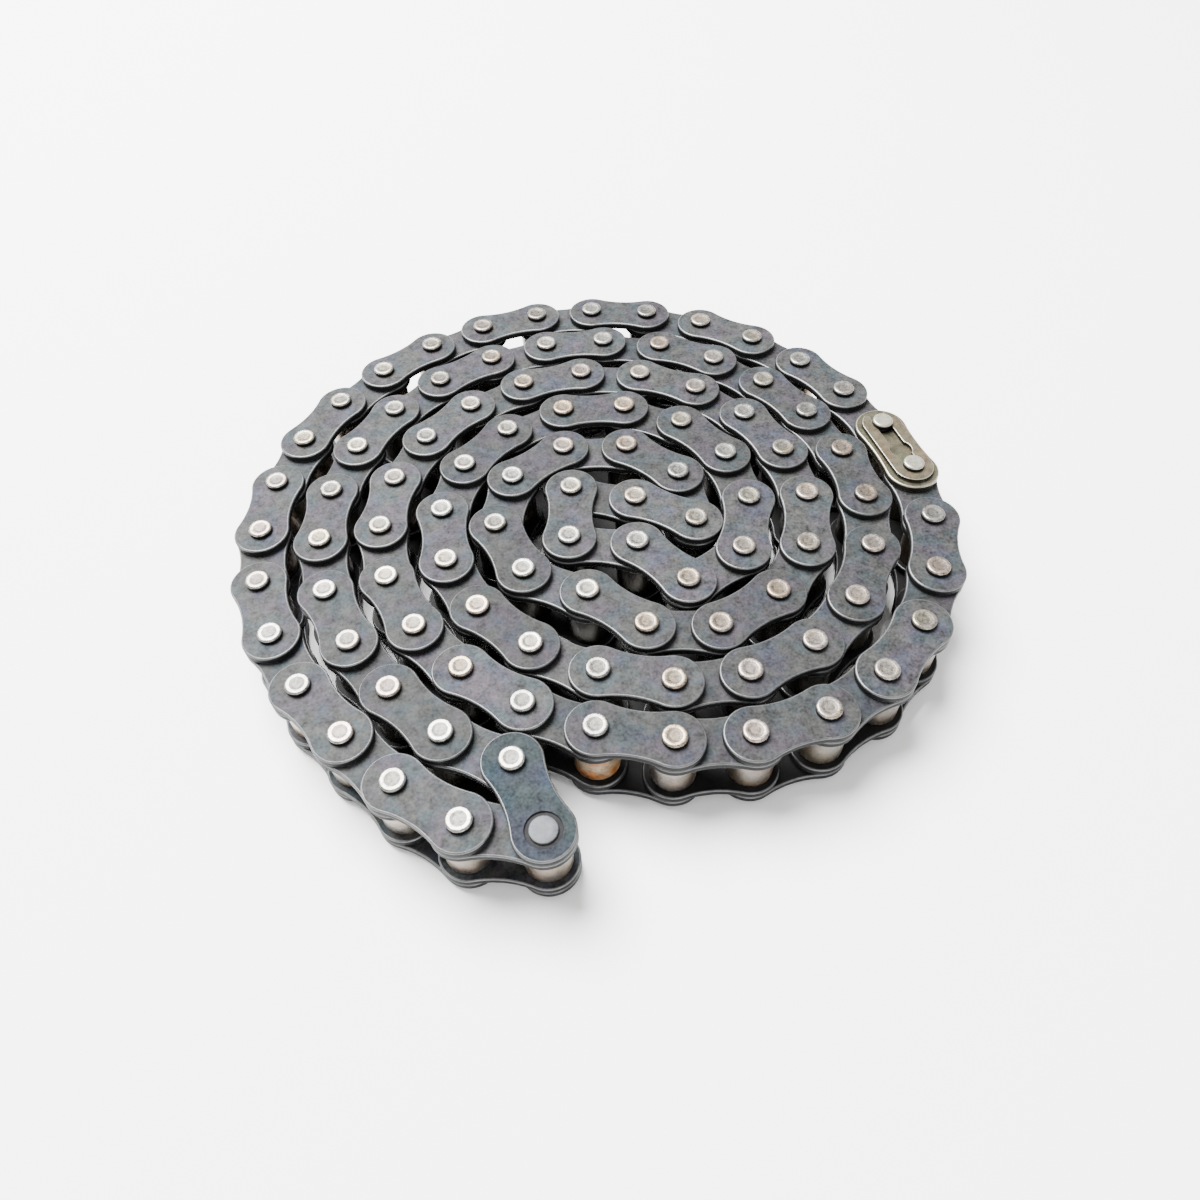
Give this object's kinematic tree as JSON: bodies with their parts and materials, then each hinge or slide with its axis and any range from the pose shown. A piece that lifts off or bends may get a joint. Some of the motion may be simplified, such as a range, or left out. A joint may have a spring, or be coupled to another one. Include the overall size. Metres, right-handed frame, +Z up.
{
  "type": "roller chain",
  "caption": "Endless steel roller chain with waisted plates and a spring-clip connecting link, folded double and rolled into a flat coil.",
  "frame": {"origin": "on the floor plane, under the middle of the coil's box; z = 0 is the lower rivet ends", "axes": "+Z up along every pin; +Y from the outer fold at the front towards the back; +X to the right"},
  "size_m": [0.136, 0.1364, 0.017],
  "materials": {
    "outer_plate_steel": "dark satin steel",
    "inner_plate_steel": "dark satin steel",
    "rivet_steel": "bright, lightly oiled",
    "stud_steel": "satin",
    "roller_steel": "satin, ground",
    "bush_steel": "satin",
    "gold_steel": "pale gold plated, satin",
    "gold_pin_steel": "bright, pale gold",
    "clip_steel": "pale gold plated, satin"
  },
  "bodies": {
    "coil": {"coil_outer_plates_upper": "outer_plate_steel", "coil_outer_plates_lower": "outer_plate_steel", "coil_inner_plates_upper": "inner_plate_steel", "coil_inner_plates_lower": "inner_plate_steel", "coil_pins": "rivet_steel", "coil_bushes": "bush_steel", "coil_rollers": "roller_steel", "fold_plate_upper": "outer_plate_steel", "fold_plate_lower": "outer_plate_steel", "fold_studs": "stud_steel", "connecting_pin_plate": "gold_steel", "connecting_pins": "gold_pin_steel", "connecting_cover_plate": "gold_steel"},
    "spring_clip": {"spring_clip": "clip_steel"},
    "link_01": {"inner_link_01_plates": "inner_plate_steel", "inner_link_01_bushes": "bush_steel"},
    "link_02": {"outer_link_02_plates": "outer_plate_steel", "outer_link_02_pins": "rivet_steel"},
    "link_03": {"inner_link_03_plates": "inner_plate_steel", "inner_link_03_bushes": "bush_steel"},
    "link_04": {"outer_link_04_plates": "outer_plate_steel", "outer_link_04_pins": "rivet_steel"},
    "link_05": {"inner_link_05_plates": "inner_plate_steel", "inner_link_05_bushes": "bush_steel"},
    "link_06": {"outer_link_06_plates": "outer_plate_steel", "outer_link_06_pins": "rivet_steel"},
    "link_07": {"inner_link_07_plates": "inner_plate_steel", "inner_link_07_bushes": "bush_steel"},
    "link_08": {"outer_link_08_plates": "outer_plate_steel", "outer_link_08_pins": "rivet_steel"},
    "link_09": {"inner_link_09_plates": "inner_plate_steel", "inner_link_09_bushes": "bush_steel"},
    "link_10": {"outer_link_10_plates": "outer_plate_steel", "outer_link_10_pins": "rivet_steel"},
    "link_11": {"inner_link_11_plates": "inner_plate_steel", "inner_link_11_bushes": "bush_steel"},
    "link_12": {"outer_link_12_plates": "outer_plate_steel", "outer_link_12_pins": "rivet_steel"},
    "roller_01": {"roller_01": "roller_steel"},
    "roller_02": {"roller_02": "roller_steel"},
    "roller_03": {"roller_03": "roller_steel"},
    "roller_04": {"roller_04": "roller_steel"},
    "roller_05": {"roller_05": "roller_steel"},
    "roller_06": {"roller_06": "roller_steel"},
    "roller_07": {"roller_07": "roller_steel"},
    "roller_08": {"roller_08": "roller_steel"},
    "roller_09": {"roller_09": "roller_steel"},
    "roller_10": {"roller_10": "roller_steel"},
    "roller_11": {"roller_11": "roller_steel"},
    "roller_12": {"roller_12": "roller_steel"}
  },
  "joints": [
    {"name": "pivot_12", "type": "hinge", "parent": "coil", "child": "link_12", "pos_m": [-0.03318, 0.05382, 0.0081], "axis": [0, 0, -1], "range_deg": [0, 30]},
    {"name": "pivot_11", "type": "hinge", "parent": "link_12", "child": "link_11", "pos_m": [-0.04327, 0.04611, 0.0081], "axis": [0, 0, -1], "range_deg": [0, 30]},
    {"name": "pivot_10", "type": "hinge", "parent": "link_11", "child": "link_10", "pos_m": [-0.05163, 0.03655, 0.0081], "axis": [0, 0, -1], "range_deg": [0, 30]},
    {"name": "pivot_09", "type": "hinge", "parent": "link_10", "child": "link_09", "pos_m": [-0.05788, 0.02549, 0.0081], "axis": [0, 0, -1], "range_deg": [0, 30]},
    {"name": "pivot_08", "type": "hinge", "parent": "link_09", "child": "link_08", "pos_m": [-0.0617, 0.01338, 0.0081], "axis": [0, 0, -1], "range_deg": [0, 30]},
    {"name": "pivot_07", "type": "hinge", "parent": "link_08", "child": "link_07", "pos_m": [-0.06288, 0.00073, 0.0081], "axis": [0, 0, -1], "range_deg": [0, 30]},
    {"name": "pivot_06", "type": "hinge", "parent": "link_07", "child": "link_06", "pos_m": [-0.06136, -0.01188, 0.0081], "axis": [0, 0, -1], "range_deg": [0, 30]},
    {"name": "pivot_05", "type": "hinge", "parent": "link_06", "child": "link_05", "pos_m": [-0.05729, -0.02391, 0.0081], "axis": [0, 0, -1], "range_deg": [0, 30]},
    {"name": "pivot_04", "type": "hinge", "parent": "link_05", "child": "link_04", "pos_m": [-0.05097, -0.03492, 0.0081], "axis": [0, 0, -1], "range_deg": [0, 30]},
    {"name": "pivot_03", "type": "hinge", "parent": "link_04", "child": "link_03", "pos_m": [-0.04281, -0.04465, 0.0081], "axis": [0, 0, -1], "range_deg": [0, 30]},
    {"name": "pivot_02", "type": "hinge", "parent": "link_03", "child": "link_02", "pos_m": [-0.03383, -0.05363, 0.0081], "axis": [0, 0, -1], "range_deg": [0, 30]},
    {"name": "pivot_01", "type": "hinge", "parent": "link_02", "child": "link_01", "pos_m": [-0.02342, -0.06091, 0.0081], "axis": [0, 0, -1], "range_deg": [0, 30]},
    {"name": "roller_spin_01", "type": "hinge", "parent": "link_01", "child": "roller_01", "pos_m": [-0.01092, -0.06314, 0.0081], "axis": [0, 0, 1], "continuous": true},
    {"name": "roller_spin_02", "type": "hinge", "parent": "link_01", "child": "roller_02", "pos_m": [-0.02342, -0.06091, 0.0081], "axis": [0, 0, 1], "continuous": true},
    {"name": "roller_spin_03", "type": "hinge", "parent": "link_03", "child": "roller_03", "pos_m": [-0.03383, -0.05363, 0.0081], "axis": [0, 0, 1], "continuous": true},
    {"name": "roller_spin_04", "type": "hinge", "parent": "link_03", "child": "roller_04", "pos_m": [-0.04281, -0.04465, 0.0081], "axis": [0, 0, 1], "continuous": true},
    {"name": "roller_spin_05", "type": "hinge", "parent": "link_05", "child": "roller_05", "pos_m": [-0.05097, -0.03492, 0.0081], "axis": [0, 0, 1], "continuous": true},
    {"name": "roller_spin_06", "type": "hinge", "parent": "link_05", "child": "roller_06", "pos_m": [-0.05729, -0.02391, 0.0081], "axis": [0, 0, 1], "continuous": true},
    {"name": "roller_spin_07", "type": "hinge", "parent": "link_07", "child": "roller_07", "pos_m": [-0.06136, -0.01188, 0.0081], "axis": [0, 0, 1], "continuous": true},
    {"name": "roller_spin_08", "type": "hinge", "parent": "link_07", "child": "roller_08", "pos_m": [-0.06288, 0.00073, 0.0081], "axis": [0, 0, 1], "continuous": true},
    {"name": "roller_spin_09", "type": "hinge", "parent": "link_09", "child": "roller_09", "pos_m": [-0.0617, 0.01338, 0.0081], "axis": [0, 0, 1], "continuous": true},
    {"name": "roller_spin_10", "type": "hinge", "parent": "link_09", "child": "roller_10", "pos_m": [-0.05788, 0.02549, 0.0081], "axis": [0, 0, 1], "continuous": true},
    {"name": "roller_spin_11", "type": "hinge", "parent": "link_11", "child": "roller_11", "pos_m": [-0.05163, 0.03655, 0.0081], "axis": [0, 0, 1], "continuous": true},
    {"name": "roller_spin_12", "type": "hinge", "parent": "link_11", "child": "roller_12", "pos_m": [-0.04327, 0.04611, 0.0081], "axis": [0, 0, 1], "continuous": true},
    {"name": "clip_slide", "type": "slide", "parent": "coil", "child": "spring_clip", "axis": [0.2349, -0.972, 0], "range_m": [0, 0.0049]}
  ]
}
